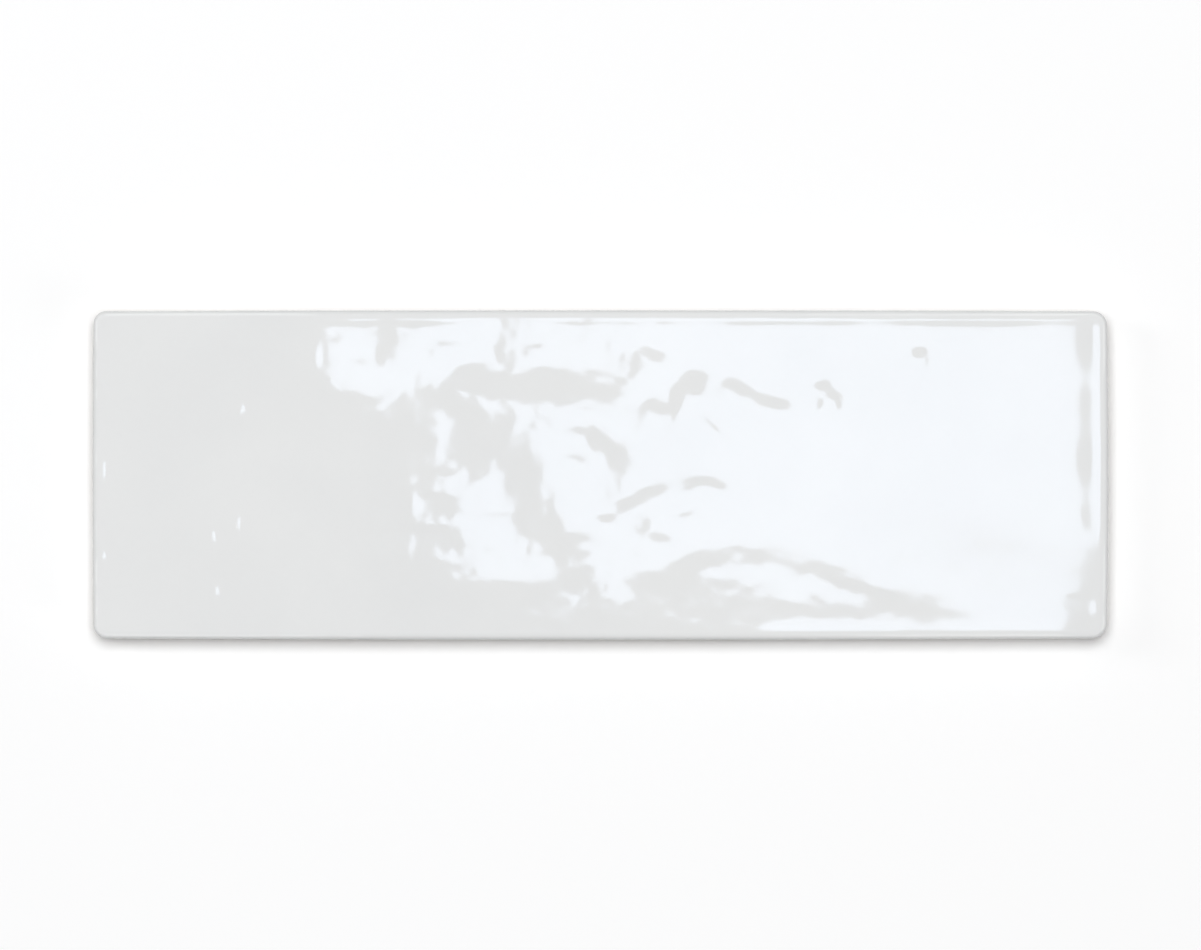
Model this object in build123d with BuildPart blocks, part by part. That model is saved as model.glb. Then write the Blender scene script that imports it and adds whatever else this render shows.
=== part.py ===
from build123d import *
from math import ceil, cos, pi, sin
import os

# Glazed ceramic wall tile, pressed and fired as one piece, lying on its back with the glazed face up.
# Millimetres. X runs along the length, Y across the width, Z up out of the glazed face.
# The origin is the centre of the back, on the plane that the tile rests on.

# Pressed body
tile_length = 200.0
tile_width = 65.0
tile_thickness = 9.0
side_land = 2.4             # height up to which the sides stand upright
side_draft = 1.5            # degrees that the sides lean in above that
back_chamfer = 0.7          # broken edge all round the back

# Hand-made outline: each side swells a little in its middle, and no two corners are rounded alike
near_side_bow = 0.22
far_side_bow = 0.16
left_end_bow = 0.18
right_end_bow = 0.26
near_left_corner = 2.8
near_right_corner = 3.2
far_left_corner = 2.6
far_right_corner = 3.0

# Glazed face: crowned in the middle, with long shallow waves, rolling over into the sides
edge_roll = 1.5             # radius of the roll-over
crown = 0.14                # fall of the face from its centre to the middle of each side
wave_height = 0.05          # half the height from trough to crest
wave_along = 84.0           # wave length along the tile
wave_across = 46.0          # wave length across the tile
wave_skew = 0.6             # how far the crests lean from straight across, in wave lengths
face_step = 7.0             # widest spacing in the net of heights that the face's surface is laid through
face_overhang = 4.0         # how far that net reaches past the tile's outline
face_tolerance = 0.001      # how closely the surface keeps to the net
face_least_degree = 3
face_most_degree = 8

# Keyed back: rows of shallow drafted pockets that the adhesive grips, with a plain border
key_columns = 10
key_rows = 3
key_border = 5.0
key_rib = 2.4               # rib left between two pockets, at the back plane
key_depth = 0.6
key_corner = 1.5
key_draft = 45.0            # degrees that the pocket's walls lean in

half_length = tile_length / 2
half_width = tile_width / 2


def face_height(x, y):
    """Height of the glazed face over the back: the crown falls off as a paraboloid, and two crossing
    sine waves ride on it."""
    fall = crown * ((x / half_length) ** 2 + (y / half_width) ** 2)
    turn_along = 2 * pi * x / wave_along
    turn_across = 2 * pi * y / wave_across
    wave = sin(turn_along + wave_skew * turn_across) * cos(turn_across - wave_skew * turn_along)
    return tile_thickness - fall + wave_height * wave


def net_line(half_reach):
    """Places from -half_reach to half_reach, evenly spaced and no further apart than the face's step."""
    spans = ceil(2 * half_reach / face_step)
    return [half_reach * (2 * index / spans - 1) for index in range(spans + 1)]


# The glazed face's surface, laid through a net of heights a little larger than the tile
net_along = net_line(half_length + face_overhang)
net_across = net_line(half_width + face_overhang)
face_net = [[(x, y, face_height(x, y)) for y in net_across] for x in net_along]
glazed_surface = Face.make_surface_from_array_of_points(
    face_net, tol=face_tolerance, min_deg=face_least_degree, max_deg=face_most_degree
)

# Corner points of the outline, set in by the bows so that the swollen sides reach the full size
near_left = (left_end_bow - half_length, near_side_bow - half_width)
near_right = (half_length - right_end_bow, near_side_bow - half_width)
far_right = (half_length - right_end_bow, half_width - far_side_bow)
far_left = (left_end_bow - half_length, half_width - far_side_bow)

# Pitch and size of the pockets in the back
key_pitch_along = (tile_length - 2 * key_border + key_rib) / key_columns
key_pitch_across = (tile_width - 2 * key_border + key_rib) / key_rows

with BuildPart() as tile:
    # Upper part of the pressed body, drawn up past the highest wave, with its sides leaning in
    with BuildSketch(Plane.XY.offset(side_land)) as outline:
        with BuildLine():
            ThreePointArc(near_left, (0, -half_width), near_right)
            ThreePointArc(near_right, (half_length, 0), far_right)
            ThreePointArc(far_right, (0, half_width), far_left)
            ThreePointArc(far_left, (-half_length, 0), near_left)
        make_face()
        fillet(outline.vertices().sort_by_distance(near_left)[0], near_left_corner)
        fillet(outline.vertices().sort_by_distance(near_right)[0], near_right_corner)
        fillet(outline.vertices().sort_by_distance(far_right)[0], far_right_corner)
        fillet(outline.vertices().sort_by_distance(far_left)[0], far_left_corner)
    extrude(amount=tile_thickness + 2 * wave_height - side_land)
    draft(tile.faces().filter_by(GeomType.CYLINDER), Plane.XY.offset(side_land), side_draft)

    # Glazed face, cut along its waved surface and rolled over into the sides
    split(bisect_by=glazed_surface, keep=Keep.BOTTOM)
    fillet(tile.faces().sort_by(Axis.Z)[-1].edges(), edge_roll)

    # Lower part with upright sides, its edge broken all round the back and the key pockets pressed in
    extrude(outline.sketch, amount=-side_land)
    chamfer(tile.faces().sort_by(Axis.Z)[0].edges(), back_chamfer)
    with BuildSketch(Plane.XY):
        with GridLocations(key_pitch_along, key_pitch_across, key_columns, key_rows):
            RectangleRounded(key_pitch_along - key_rib, key_pitch_across - key_rib, key_corner)
    extrude(amount=key_depth, taper=key_draft, mode=Mode.SUBTRACT)

tile.part.label = "tile"

os.makedirs("parts", exist_ok=True)
export_step(tile.part, "parts/tile.step")
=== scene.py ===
import bpy
import numpy as np
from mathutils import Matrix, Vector


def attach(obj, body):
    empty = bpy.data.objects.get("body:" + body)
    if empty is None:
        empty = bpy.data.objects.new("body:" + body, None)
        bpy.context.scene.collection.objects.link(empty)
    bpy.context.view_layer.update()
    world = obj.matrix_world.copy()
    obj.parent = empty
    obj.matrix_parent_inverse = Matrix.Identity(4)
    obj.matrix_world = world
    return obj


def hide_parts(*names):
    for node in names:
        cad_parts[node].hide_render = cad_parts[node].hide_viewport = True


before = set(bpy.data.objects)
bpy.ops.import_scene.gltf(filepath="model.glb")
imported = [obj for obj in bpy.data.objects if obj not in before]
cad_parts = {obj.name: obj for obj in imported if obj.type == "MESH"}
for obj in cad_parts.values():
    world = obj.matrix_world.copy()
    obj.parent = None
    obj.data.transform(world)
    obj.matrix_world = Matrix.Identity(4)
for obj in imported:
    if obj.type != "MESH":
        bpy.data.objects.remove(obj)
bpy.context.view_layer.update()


# Glazed tile.
# A flat slab of white-firing clay, pressed, fired and then dipped in a thick glossy white glaze. The glaze
# pooled as it melted, so it ripples on the face, beads along the edges and stops short of the back.

# Sizes in millimetres until the mesh is made, with X along the tile, Y across it and Z up from the back
half_length = 100.0
half_width = 32.5
thickness = 9.0
side_land = 2.4
side_draft = np.tan(np.radians(1.5))
back_chamfer = 0.7
edge_roll = 1.5
roll_inset = edge_roll + (thickness - edge_roll - side_land) * side_draft
near_left_radius, near_right_radius = 2.8, 3.2
far_left_radius, far_right_radius = 2.6, 3.0
left_bow, right_bow = 0.18, 0.26
near_bow, far_bow = 0.22, 0.16


def seen_from_above(along, across, inset):
    """Place of a point in the tile's outline. along and across run from -1 to 1 between the sides of a
    rectangle that lies inset inside the tile. A square corner is squeezed onto a quarter circle: each leg is
    shortened by the root of one less half the other leg's squared share of the radius. Then each side bows
    out to its middle."""
    x = along * (half_length - inset)
    y = across * (half_width - inset)
    left, near = x < 0, y < 0
    left_radius = np.where(near, near_left_radius, far_left_radius)
    right_radius = np.where(near, near_right_radius, far_right_radius)
    radius = np.where(left, left_radius, right_radius) - inset
    leg_x = np.maximum(np.abs(x) - (half_length - inset - radius), 0)
    leg_y = np.maximum(np.abs(y) - (half_width - inset - radius), 0)
    x = np.sign(x) * (np.abs(x) - leg_x + leg_x * np.sqrt(1 - 0.5 * (leg_y / radius) ** 2))
    y = np.sign(y) * (np.abs(y) - leg_y + leg_y * np.sqrt(1 - 0.5 * (leg_x / radius) ** 2))
    bowed_x = x - np.sign(x) * np.where(left, left_bow, right_bow) * (y / half_width) ** 2
    bowed_y = y - np.sign(y) * np.where(near, near_bow, far_bow) * (x / half_length) ** 2
    return bowed_x, bowed_y


def fold(x, y, middle_x, middle_y, half_run, half_breadth, turn, lean):
    """A place where the glaze leans over: across its middle it falls by lean per millimetre, towards the
    turned direction. Along the run the step is run over the fourth root of one plus run to the fourth, and it
    lifts the glaze behind by three times as much as it dips it in front. A negative lean dips it behind and
    lifts it in front. The fold fades out over three half runs, and across them by a cubed exponential."""
    turn = np.radians(turn)
    run = ((x - middle_x) * np.cos(turn) + (y - middle_y) * np.sin(turn)) / half_run
    breadth = ((y - middle_y) * np.cos(turn) - (x - middle_x) * np.sin(turn)) / half_breadth
    step = run / (1 + run ** 4) ** 0.25
    return lean * half_run * (0.5 - step) * np.exp(-0.5 * (run / 3) ** 2 - 0.6 * np.abs(breadth) ** 3)


def bell(distance, middle, width):
    """A bell curve over a distance."""
    return np.exp(-0.5 * ((distance - middle) / width) ** 2)


def along_edge(distance, height, middle, width):
    """A bead along an edge, or a gutter where height is below nought: height times a bell curve over the
    distance from that edge."""
    return height * bell(distance, middle, width)


def swell(along):
    """How the bead along an edge thickens and thins: one, with two sine waves of different length."""
    return 1 + 0.35 * np.sin(along / 6.1 + 0.6) + 0.3 * np.sin(along / 2.7)


def past(value, where, softness):
    """Nought before a place and one past it, in a soft step: one over one plus e to the power of what is
    still to go, in softnesses."""
    return 1 / (1 + np.exp((where - value) / softness))


def pressed_height(x, y):
    """Height of the pressed body under the glaze: it falls from the middle by the squared shares of the half
    length and half width, and two long waves, a sine and a cosine, cross on it. It lies lower than the
    thickness by the room that the glaze's relief takes."""
    crown = 0.14
    relief_room = 0.15
    wave_height, wave_skew = 0.05, 0.6
    wave_along, wave_across = 84.0, 46.0
    turn_along = 2 * np.pi * x / wave_along
    turn_across = 2 * np.pi * y / wave_across
    height = thickness - relief_room - crown * ((x / half_length) ** 2 + (y / half_width) ** 2)
    first_wave = np.sin(turn_along + wave_skew * turn_across)
    second_wave = np.cos(turn_across - wave_skew * turn_along)
    return height + wave_height * first_wave * second_wave


def fine_ripple(x, y):
    """Many crossing waves in all directions: their lengths are spread evenly in proportion between the
    longest and the shortest, and a wave is as high as its length allows at the same slope."""
    wave_count = 60
    longest, shortest = 9.0, 2.2
    slope = 0.00448
    chance = np.random.default_rng(5)
    length = longest * (shortest / longest) ** chance.uniform(0, 1, wave_count)
    heading = chance.uniform(0, np.pi, wave_count)
    phase = chance.uniform(0, 2 * np.pi, wave_count)
    turns = 2 * np.pi / length
    waves = np.cos(x[..., None] * turns * np.cos(heading) + y[..., None] * turns * np.sin(heading) + phase)
    return waves @ (slope * np.sqrt(2 / wave_count) / turns)


def glaze_height(x, y):
    """Height of the glazed face: the pressed body, with the folds and pimples of the glaze, the beads and
    gutters along its edges, and a fine ripple that is lively at the left and near sides and calm
    elsewhere."""
    height = pressed_height(x, y)

    # Folds: middle x and y, half run, half breadth, direction of the fall in degrees, fall per millimetre
    far_left_folds = (
        (-36, 27, 15, 11, 0, 0.01), (-50, 25, 6.2, 12, 0, 0.025), (-42, 26, 1.7, 5, 175, 0.011),
        (-42, 18, 4, 3.5, 180, -0.012), (-31, 24, 9.5, 11, 0, 0.012), (-33, 24.2, 1.4, 1.4, 180, 0.012),
        (-20, 24, 1.3, 1.7, 180, 0.013), (-14, 24.2, 1.3, 1.1, 180, 0.012),
    )
    bay_folds = (
        (-21, 17.4, 3.6, 6, 100, 0.02), (-8, 18.4, 3.2, 5, 84, 0.018), (2, 17.2, 2.6, 4, 80, 0.014),
        (-30, 10, 2, 3.5, 30, 0.018), (-33, 15, 3.2, 2, 180, 0.01), (-26.5, 20.6, 1.8, 3.6, 95, 0.022),
    )
    channel_folds = (
        (-15, 5.5, 5.5, 6, 0, -0.009), (-24, 7.5, 7, 6, 0, -0.009), (-16, -4.5, 3.2, 6, 180, 0.008),
        (-9.8, -3.8, 2.6, 5.5, 0, 0.01), (-15.6, -9.5, 1.8, 5.5, 180, 0.008),
        (-6, -13.4, 3.4, 4.4, -90, 0.022), (-5, -20, 2.4, 3, -90, 0.016),
    )
    near_left_folds = (
        (-23.5, -7, 9.5, 7.5, 0, 0.012), (-22, -19.5, 8, 5, 0, 0.01), (-24, -21, 2.6, 6, 90, 0.008),
        (-29.5, -6, 3.5, 2, 0, -0.016), (-29.5, -12.6, 3.5, 2, 0, -0.016), (-17, -23.4, 2.6, 8, -90, 0.014),
    )
    dents = (
        (5, 0.5, 4, 14, 90, 0.008), (-1, 6.5, 2.6, 2.6, 0, -0.024), (3.6, 4.2, 2.4, 2.6, 0, -0.022),
        (10.4, 23.6, 1.5, 3.4, 65, 0.026), (18.6, 18.4, 2.9, 2.6, 74, 0.026),
        (27.4, 17.2, 1.7, 2.8, 52, 0.03), (34, 14.2, 1.6, 4, 76, 0.026),
        (11.4, 13.4, 1.5, 2.4, 62, 0.024), (22.6, 9.2, 0.9, 4.2, 48, 0.032),
        (18.4, -1.3, 1.4, 2, -63, 0.024), (22.2, -1.5, 1.3, 2.2, -112, 0.022),
        (10.8, -2.8, 1.7, 3.6, -65, 0.022), (16.6, -7.8, 0.8, 2.5, -75, 0.018),
        (5.2, -5.6, 1.4, 2.6, -65, 0.02), (1, -8.4, 1.1, 1.8, -85, 0.02), (11.8, -12.2, 1.6, 2.8, -90, 0.018),
        (43.6, 17.6, 1.2, 1.8, 110, 0.034), (46, 15.4, 1.2, 1.6, 60, 0.034), (62.7, 24, 1.2, 1.4, 90, 0.034),
    )
    near_streak = (
        (12.5, -20.5, 2.6, 5.5, -90, 0.014), (3, -22, 2.5, 3, 90, 0.006), (17.5, -17.6, 2, 3.2, -70, 0.012),
        (25, -22.4, 2.6, 8, -97, 0.008), (26, -15.8, 2.2, 8.5, -90, 0.017), (43, -18.5, 2.3, 8, -107, 0.014),
        (56, -23.6, 1.6, 8, -105, 0.008), (84, -27, 3, 11, 90, 0.008),
    )
    near_right_corner = ((96.4, -28, 5.5, 15, 164, -0.017), (91.2, -25.4, 1.5, 1.3, 180, -0.008))
    left_folds = far_left_folds + bay_folds + channel_folds + near_left_folds
    for one in left_folds + dents + near_streak + near_right_corner:
        height = height + fold(x, y, *one)

    # Pimples: middle x and y, half width, half length, height
    pimples = (
        (-71, 11.5, 0.7, 2, 0.08), (-76.7, -12.7, 0.6, 2, 0.05), (-71.8, -9.6, 0.6, 2, 0.045),
        (-76, -23.5, 0.6, 1.7, 0.052), (-37, -5.4, 0.8, 1.3, 0.03), (-56.2, 23.3, 0.8, 1.6, 0.035),
        (97.7, -26.4, 0.8, 1.3, 0.022),
    )
    for middle_x, middle_y, wide, long, high in pimples:
        height = height + high * bell(x, middle_x, wide) * bell(y, middle_y, long)

    # Beads and gutters: height, distance from the edge, half width
    near_bead = (0.026, 1.4, 1.05)
    near_gutter = (-0.016, 4.4, 1.8)
    far_gutter = (-0.014, 2.1, 0.5)
    right_gutter = (-0.040, 3.0, 1.6)
    left_beads = (0.060, 1.9, 0.5)
    near, far, left, right = half_width + y, half_width - y, half_length + x, half_length - x
    bead_starts = past(x, where=27, softness=1.5)
    streak_ends = 1 - past(x, where=66, softness=4)
    clear_of_corner = past(y, where=-11.5, softness=0.8)
    tallest_swells = np.maximum(swell(2 * y + 3) - 0.7, 0)
    height = height + bead_starts * swell(x) * along_edge(near, *near_bead)
    height = height + bead_starts * streak_ends * swell(x) * along_edge(near, *near_gutter)
    height = height + swell(x + 9) * along_edge(far, *far_gutter)
    height = height + clear_of_corner * swell(1.5 * y) * along_edge(right, *right_gutter)
    height = height + tallest_swells * along_edge(left, *left_beads)

    calm = 0.2
    lively_left = 1 - past(x, where=22, softness=8)
    lively_near = 0.7 * (1 - past(y, where=-13, softness=1.5)) * streak_ends
    return height + fine_ripple(x, y) * (calm + (1 - calm) * np.maximum(lively_left, lively_near))


def grid_lines(stops, steps):
    """Grid lines between neighbouring stops, evenly spaced by about the step given for that stretch."""
    spans = zip(stops, stops[1:], steps)
    lines = [np.linspace(a, b, round((b - a) / step), endpoint=False) for a, b, step in spans]
    return np.append(np.concatenate(lines), stops[-1])


def around(columns, rows):
    """Column and row of each point along the border of a grid, once round from its first corner."""
    c, r = np.arange(columns - 1), np.arange(rows - 1)
    column = np.concatenate((c, np.full(rows - 1, columns - 1), columns - 1 - c, np.zeros(rows - 1, int)))
    row = np.concatenate((np.zeros(columns - 1, int), r, np.full(columns - 1, rows - 1), rows - 1 - r))
    return column, row


def grid_faces(columns, rows, first):
    """Four-sided faces of a grid of points whose first point has the index first, wound to face up."""
    index = first + np.arange(columns * rows).reshape(columns, rows)
    corners = (index[:-1, :-1], index[1:, :-1], index[1:, 1:], index[:-1, 1:])
    return np.stack(corners, axis=-1).reshape(-1, 4)


# Glazed face: a grid that is finest along the edges and where the glaze ripples most
half_along = half_length - roll_inset
half_across = half_width - roll_inset
edge_strip, edge_step = 4.0, 0.3
inner_along, inner_across = half_along - edge_strip, half_across - edge_strip
lines_along = grid_lines(
    (-half_along, -inner_along, -80, -60, 48, 66, inner_along, half_along),
    (edge_step, 0.6, 0.48, 0.43, 0.5, 0.75, edge_step),
)
lines_across = grid_lines(
    (-half_across, -inner_across, inner_across, half_across),
    (edge_step, 0.42, edge_step),
)
along, across = np.meshgrid(lines_along / half_along, lines_across / half_across, indexing="ij")
face_x, face_y = seen_from_above(along, across, roll_inset)
face_z = glaze_height(face_x, face_y)
columns, rows = face_x.shape
face_points = np.stack((face_x, face_y, face_z), axis=-1).reshape(-1, 3)

# Edge of the face, once round, with the height at which the glaze stops on the sides: a mean height and four
# sine waves, from three swings round the whole tile to a short wobble
column, row = around(columns, rows)
rim_along, rim_across, rim_height = along[column, row], across[column, row], face_z[column, row]
rim_x, rim_y = seen_from_above(rim_along, rim_across, 0.0)
bearing = np.arctan2(rim_y / half_width, rim_x / half_length)
glaze_end = 2.7 + 0.45 * np.sin(3 * bearing + 1) + 0.4 * np.sin(rim_x / 8.7 + rim_y / 5.2)
glaze_end = glaze_end + 0.22 * np.sin(rim_x / 3.6 - rim_y / 2.6 + 2)
glaze_end = glaze_end + 0.06 * np.sin(rim_x / 1.3 + rim_y / 1.1)

# Rings down the sides, each with an inset, a height and whether it is glazed: the roll-over, fuller than a
# quarter circle, the drafted side with the lip of the glaze, the upright land and the back's broken edge
roll_angles = np.radians(np.linspace(0, 88.5, 9))[1:]
roll_fullness = 0.72
bare_step = 0.06
lip_top, lip_foot = 0.45, -0.3
rings = []
for angle in roll_angles:
    inset = roll_inset - edge_roll * np.sin(angle) ** roll_fullness
    rings.append((inset, rim_height - edge_roll * (1 - np.cos(angle) ** roll_fullness), 1.0))
roll_foot = rings[-1][1]
for share in (0.33, 0.67):
    rings.append((None, roll_foot + share * (glaze_end + lip_top - roll_foot), 1.0))
for above, glazed in ((lip_top, 1.0), (0.15, 1.0), (0.0, 0.5), (-0.1, 0.0), (lip_foot, 0.0)):
    rings.append((None, glaze_end + above, glazed))
rings.append((None, 0.5 * (glaze_end + lip_foot + back_chamfer), 0.0))
rings.append((None, np.full_like(rim_x, back_chamfer), 0.0))
rings.append((back_chamfer, np.zeros_like(rim_x), 0.0))
ring_points, ring_glaze = [], []
for inset, z, glazed in rings:
    if inset is None:
        inset = np.maximum(z - side_land, 0) * side_draft + bare_step * (1 - glazed)
    x, y = seen_from_above(rim_along, rim_across, inset)
    ring_points.append(np.stack((x, y, z), axis=-1))
    ring_glaze.append(np.full(len(rim_x), glazed))
first_ring = columns * rows
around_count = len(rim_x)
ring_index = first_ring + np.arange(len(rings) * around_count).reshape(len(rings), around_count)
ring_index = np.vstack((column * rows + row, ring_index))
upper, lower = ring_index[:-1], ring_index[1:]
side_corners = (upper, lower, np.roll(lower, -1, axis=1), np.roll(upper, -1, axis=1))
side_faces = np.stack(side_corners, axis=-1).reshape(-1, 4)

# Keyed back: three rows of ten shallow pockets with sloping walls, on grid lines that follow the pockets'
# edges. A pocket is as deep as the point lies inside its rounded rectangle, down to its floor.
key_depth, key_border, key_rib, key_corner = 0.6, 5.0, 2.4, 1.5
keys_along, keys_across = 10, 3


def key_lines(half_reach, count):
    """Grid lines of the back in one direction, with the middle of its pocket for each line and half the size
    of a pocket. The lines are closest in the pocket's rounded corners."""
    pitch = (2 * half_reach - 2 * key_border + key_rib) / count
    half_pocket = (pitch - key_rib) / 2
    wall_lines = np.array((0, 0.2, 0.4, 0.6, 1.0, 1.6))
    floor_lines = (-3.5, 0, 3.5)
    border_line = half_reach - 3.5
    pocket = np.concatenate((-half_pocket + wall_lines, floor_lines, half_pocket - wall_lines[::-1]))
    middles = pitch * (np.arange(count) - (count - 1) / 2)
    lines = np.concatenate(((-border_line,), (middles[:, None] + pocket).ravel(), (border_line,)))
    nearest = middles[np.argmin(np.abs(lines[:, None] - middles), axis=1)]
    return lines, nearest, half_pocket


back_along, middle_along, half_pocket_along = key_lines(half_length, keys_along)
back_across, middle_across, half_pocket_across = key_lines(half_width, keys_across)
back_x, back_y = np.meshgrid(back_along, back_across, indexing="ij")
out_x = np.abs(back_x - middle_along[:, None]) - (half_pocket_along - key_corner)
out_y = np.abs(back_y - middle_across) - (half_pocket_across - key_corner)
outside = np.hypot(np.maximum(out_x, 0), np.maximum(out_y, 0)) + np.minimum(np.maximum(out_x, out_y), 0)
back_z = np.clip(key_corner - outside, 0, key_depth)
back_columns, back_rows = back_x.shape
first_back = first_ring + len(rings) * around_count
back_points = np.stack((back_x, back_y, back_z), axis=-1).reshape(-1, 3)
back_faces = grid_faces(back_columns, back_rows, first_back)[:, ::-1]

# Plain border between the broken edge and the pockets: both lines are walked round together, and each stretch
# of one makes a triangle with the point that the other has reached
back_column, back_row = around(back_columns, back_rows)


def walked(x, y, columns, rows):
    """How far round the border of a grid each point has come, and the end of the walk: the number of whole
    sides, and the share of its own side. x and y run from -1 to 1."""
    first, second, third = np.cumsum((columns - 1, rows - 1, columns - 1))
    side = np.repeat(np.arange(4), (columns - 1, rows - 1, columns - 1, rows - 1))
    on_side = np.concatenate((x[:first], y[first:second], -x[second:third], -y[third:]))
    return np.append(side + (on_side + 1) / 2, 4.0)


border_x = back_x[back_column, back_row] / back_along[-1]
border_y = back_y[back_column, back_row] / back_across[-1]
outer_walk = walked(rim_along, rim_across, columns, rows)
inner_walk = walked(border_x, border_y, back_columns, back_rows)
outer_index = np.append(ring_index[-1], ring_index[-1, 0])
inner_index = first_back + back_column * back_rows + back_row
inner_index = np.append(inner_index, inner_index[0])
reached_inner = np.searchsorted(inner_walk, outer_walk[1:], "left") - 1
reached_outer = np.searchsorted(outer_walk, inner_walk[1:], "right") - 1
outer_fan = np.stack((outer_index[1:], outer_index[:-1], inner_index[reached_inner]), axis=-1)
inner_fan = np.stack((inner_index[:-1], inner_index[1:], outer_index[reached_outer]), axis=-1)

metres = 0.001
sharp_edge = np.radians(28)
points = np.concatenate((face_points, np.concatenate(ring_points), back_points)) * metres
glaze_cover = (np.ones(len(face_points)), *ring_glaze, np.zeros(len(back_points)))
four_sided = np.concatenate((grid_faces(columns, rows, 0), side_faces, back_faces))
three_sided = np.concatenate((outer_fan, inner_fan))
tile_mesh = bpy.data.meshes.new("glazed_tile")
tile_mesh.from_pydata(points.tolist(), [], four_sided.tolist() + three_sided.tolist())
glazed_attribute = tile_mesh.attributes.new("glazed", "FLOAT", "POINT")
glazed_attribute.data.foreach_set("value", np.concatenate(glaze_cover).astype(np.float32))
tile_mesh.shade_smooth()
tile_mesh.set_sharp_from_angle(angle=sharp_edge)
tile = bpy.data.objects.new("glazed_tile", tile_mesh)
bpy.context.scene.collection.objects.link(tile)

# White glaze with a cloudy depth, over bare clay that is pale, dull and grainy
finish = bpy.data.materials.new("white_glaze_on_clay")
finish.use_nodes = True
nodes, links = finish.node_tree.nodes, finish.node_tree.links
surface = nodes["Principled BSDF"]
surface.inputs["IOR"].default_value = 1.52
place = nodes.new("ShaderNodeTexCoord")
glaze_share = nodes.new("ShaderNodeAttribute")
glaze_share.attribute_name = "glazed"


def noise(scale, detail, roughness):
    """A noise whose features are about one over scale metres across, in the tile's own frame."""
    node = nodes.new("ShaderNodeTexNoise")
    node.inputs["Scale"].default_value = scale
    node.inputs["Detail"].default_value = detail
    node.inputs["Roughness"].default_value = roughness
    links.new(place.outputs["Object"], node.inputs["Vector"])
    return node.outputs["Fac"]


def shades(value, low_colour, high_colour):
    """Two colours laid along a noise: the first up to 0.3, the second from 0.7, and a blend between."""
    node = nodes.new("ShaderNodeValToRGB")
    for element, where, colour in zip(node.color_ramp.elements, (0.3, 0.7), (low_colour, high_colour)):
        element.position = where
        element.color = (*colour, 1)
    links.new(value, node.inputs["Fac"])
    return node.outputs["Color"]


def mixed(nodes, links, share, without, covered, kind):
    """One value or colour where share is 0 and the other where it is 1. Each is a number, a colour or the
    output of a node."""
    node = nodes.new("ShaderNodeMix")
    node.data_type = kind
    sockets = [socket for socket in node.inputs if socket.enabled]
    links.new(share, sockets[0])
    for socket, value in zip(sockets[1:], (without, covered)):
        if isinstance(value, (float, tuple)):
            socket.default_value = value
        else:
            links.new(value, socket)
    return next(socket for socket in node.outputs if socket.enabled)


clay_roughness, glaze_roughness = 0.85, 0.05
clay_grain, glaze_grain = 0.6, 0.004
grain_depth = 0.0001
cover = glaze_share.outputs["Fac"]
glaze_clouds = noise(scale=38, detail=4, roughness=0.55)
clay_speckle = noise(scale=420, detail=5, roughness=0.6)
surface_grain = noise(scale=1600, detail=3, roughness=0.6)
glaze_colour = shades(glaze_clouds, (0.765, 0.772, 0.772), (0.792, 0.798, 0.795))
clay_colour = shades(clay_speckle, (0.60, 0.545, 0.47), (0.72, 0.67, 0.60))
links.new(mixed(nodes, links, cover, clay_colour, glaze_colour, "RGBA"), surface.inputs["Base Color"])
links.new(mixed(nodes, links, cover, clay_roughness, glaze_roughness, "FLOAT"), surface.inputs["Roughness"])
grain = nodes.new("ShaderNodeBump")
grain.inputs["Distance"].default_value = grain_depth
links.new(mixed(nodes, links, cover, clay_grain, glaze_grain, "FLOAT"), grain.inputs["Strength"])
links.new(surface_grain, grain.inputs["Height"])
links.new(grain.outputs["Normal"], surface.inputs["Normal"])
tile_mesh.materials.append(finish)
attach(tile, "root")
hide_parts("tile")


# Floor.
# A level sheet of plain matt card, far larger than the tile, which lies on it. To the camera and in
# reflections it is white, and to the light that it throws back at the tile it is pale grey.
floor_half = 20.0
floor_signs = np.array(((-1, -1, 0), (1, -1, 0), (1, 1, 0), (-1, 1, 0)))
floor_mesh = bpy.data.meshes.new("floor")
floor_mesh.from_pydata((floor_half * floor_signs).tolist(), [], [(0, 1, 2, 3)])
floor = bpy.data.objects.new("floor", floor_mesh)
bpy.context.scene.collection.objects.link(floor)
card = bpy.data.materials.new("white_card")
card.use_nodes = True
card_nodes, card_links = card.node_tree.nodes, card.node_tree.links
card_surface = card_nodes["Principled BSDF"]
card_surface.inputs["Roughness"].default_value = 1.0
card_surface.inputs["Specular IOR Level"].default_value = 0.0


def seen_by(nodes, links, *kinds):
    """One for the kinds of ray that are named and nought for all others."""
    ray = nodes.new("ShaderNodeLightPath")
    share = ray.outputs[kinds[0]]
    for kind in kinds[1:]:
        either = nodes.new("ShaderNodeMath")
        either.operation = "ADD"
        either.use_clamp = True
        links.new(share, either.inputs[0])
        links.new(ray.outputs[kind], either.inputs[1])
        share = either.outputs[0]
    return share


card_grey, card_white = (0.72, 0.72, 0.72, 1), (1, 1, 1, 1)
card_seen = seen_by(card_nodes, card_links, "Is Camera Ray", "Is Glossy Ray", "Is Transmission Ray")
card_shade = mixed(card_nodes, card_links, card_seen, card_grey, card_white, "RGBA")
card_links.new(card_shade, card_surface.inputs["Base Color"])
floor_mesh.materials.append(card)


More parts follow.
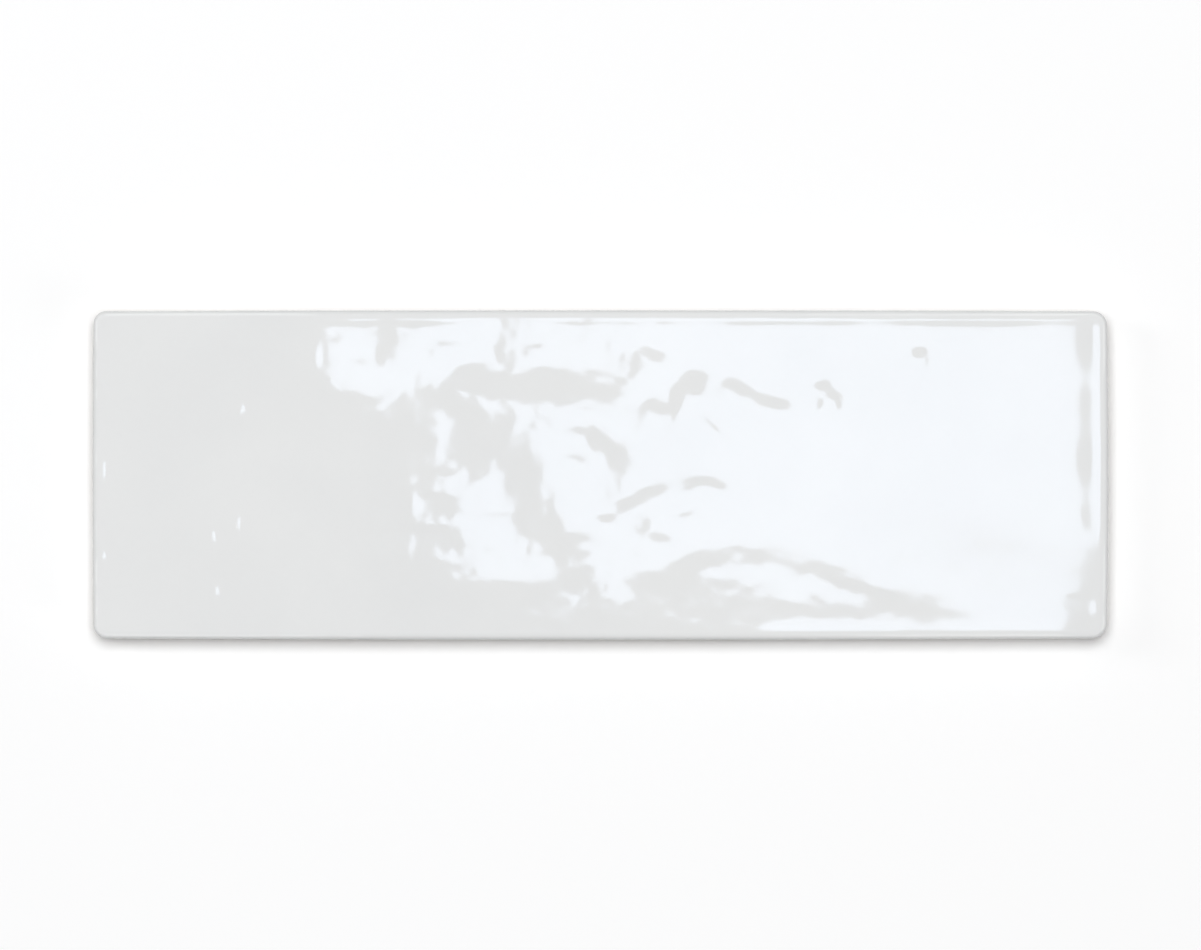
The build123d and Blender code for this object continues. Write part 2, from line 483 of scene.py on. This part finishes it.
# Light and camera.
# A plain white room, one bluish softbox overhead that lies mirrored in the glaze, a large ceiling light and
# two soft side lights. In reflections the room also has a ring of tall narrow windows, brighter higher up.
world = bpy.data.worlds.new("bright_room")
bpy.context.scene.world = world
world.use_nodes = True
sky_nodes, sky_links = world.node_tree.nodes, world.node_tree.links
sky = sky_nodes["Background"]
sky.inputs["Color"].default_value = (1, 1, 1, 1)
direction = sky_nodes.new("ShaderNodeTexCoord").outputs["Generated"]
direction_parts = sky_nodes.new("ShaderNodeSeparateXYZ")
sky_links.new(direction, direction_parts.inputs["Vector"])
steepness = direction_parts.outputs["Z"]
bearing_round = sky_nodes.new("ShaderNodeTexGradient")
bearing_round.gradient_type = "RADIAL"
sky_links.new(direction, bearing_round.inputs["Vector"])


def sky_math(operation, first, second):
    """One sum on two values, each a number or the output of a node."""
    node = sky_nodes.new("ShaderNodeMath")
    node.operation = operation
    for socket, value in zip(node.inputs, (first, second)):
        if isinstance(value, float):
            socket.default_value = value
        else:
            sky_links.new(value, socket)
    return node.outputs["Value"]


def sky_range(value, start, end, low, high):
    """Runs smoothly from low to high while the value goes from start to end."""
    node = sky_nodes.new("ShaderNodeMapRange")
    node.interpolation_type = "SMOOTHSTEP"
    sky_links.new(value, node.inputs["Value"])
    for name, number in (("From Min", start), ("From Max", end), ("To Min", low), ("To Max", high)):
        node.inputs[name].default_value = number
    return node.outputs["Result"]


# The room is white to the eye and in reflections, and lights the tile faintly. A window fills the middle
# of its share of the ring. Steepness is nought level with the tile and one straight above it.
room_glow, room_white = 0.14, 1.0
window_count = 36.0
window_light = 2.2
pane_edge = (0.2, 0.3)
brightening = (0.15, 0.7)
upper_end = (0.80, 0.95)
across_window = sky_math("PINGPONG", sky_math("MULTIPLY", bearing_round.outputs["Fac"], window_count), 0.5)
pane = sky_range(across_window, *pane_edge, 0.0, 1.0)
brighter_up = sky_range(steepness, *brightening, 0.0, window_light)
below_end = sky_range(steepness, *upper_end, 1.0, 0.0)
windows = sky_math("MULTIPLY", sky_math("MULTIPLY", pane, brighter_up), below_end)
windows = sky_math("MULTIPLY", windows, seen_by(sky_nodes, sky_links, "Is Glossy Ray"))
room_seen = seen_by(sky_nodes, sky_links, "Is Camera Ray", "Is Glossy Ray", "Is Transmission Ray")
room = sky_range(room_seen, 0.0, 1.0, room_glow, room_white)
sky_links.new(sky_math("ADD", room, windows), sky.inputs["Strength"])


def softbox(name, centre, aim, width, depth, radiance, colour):
    """A flat rectangular light in metres. Its power is pi times its radiance times its area."""
    lamp = bpy.data.lights.new(name, "AREA")
    lamp.shape = "RECTANGLE"
    lamp.size, lamp.size_y = width, depth
    lamp.energy = np.pi * radiance * width * depth
    lamp.color = colour
    box = bpy.data.objects.new(name, lamp)
    bpy.context.scene.collection.objects.link(box)
    box.location = centre
    box.rotation_euler = (Vector(aim) - Vector(centre)).to_track_quat("-Z", "Y").to_euler()
    return box


# Place and size of the overhead softbox follow from its mirror image on the face, in millimetres
face_height = thickness * metres
camera_height = 2.0 + face_height
box_height = 2.1 + face_height
mirror_scale = metres * (1 + (box_height - face_height) / (camera_height - face_height))
mirrored_left, mirrored_right = -21.5, 117.0
mirrored_near, mirrored_far = -35.0, 62.0
box_x = mirror_scale * (mirrored_left + mirrored_right) / 2
box_y = mirror_scale * (mirrored_near + mirrored_far) / 2
box_width = mirror_scale * (mirrored_right - mirrored_left)
box_depth = mirror_scale * (mirrored_far - mirrored_near)
pale_blue, white = (0.71, 0.82, 1.0), (1, 1, 1)
softbox(
    "overhead", centre=(box_x, box_y, box_height), aim=(box_x, box_y, 0), width=box_width, depth=box_depth,
    radiance=4.5, colour=pale_blue,
)
ceiling = softbox(
    "ceiling", centre=(-0.05, 0.36, 2.6), aim=(-0.05, 0.36, 0), width=1.2, depth=1.2,
    radiance=12.2, colour=white,
)
ceiling.visible_glossy = False
softbox("left_side", (-1.6, 0.5, 1.1), aim=(0, 0, 0), width=0.5, depth=0.8, radiance=3.0, colour=white)
softbox("right_side", (1.5, -0.9, 1.0), aim=(0, 0, 0), width=0.5, depth=0.8, radiance=2.0, colour=white)

view_width = 0.236
camera_data = bpy.data.cameras.new("camera")
camera_data.lens = camera_data.sensor_width * (camera_height - face_height) / view_width
camera = bpy.data.objects.new("camera", camera_data)
bpy.context.scene.collection.objects.link(camera)
camera.location = (0, 0, camera_height)
bpy.context.scene.camera = camera
bpy.context.scene.view_settings.view_transform = "Standard"
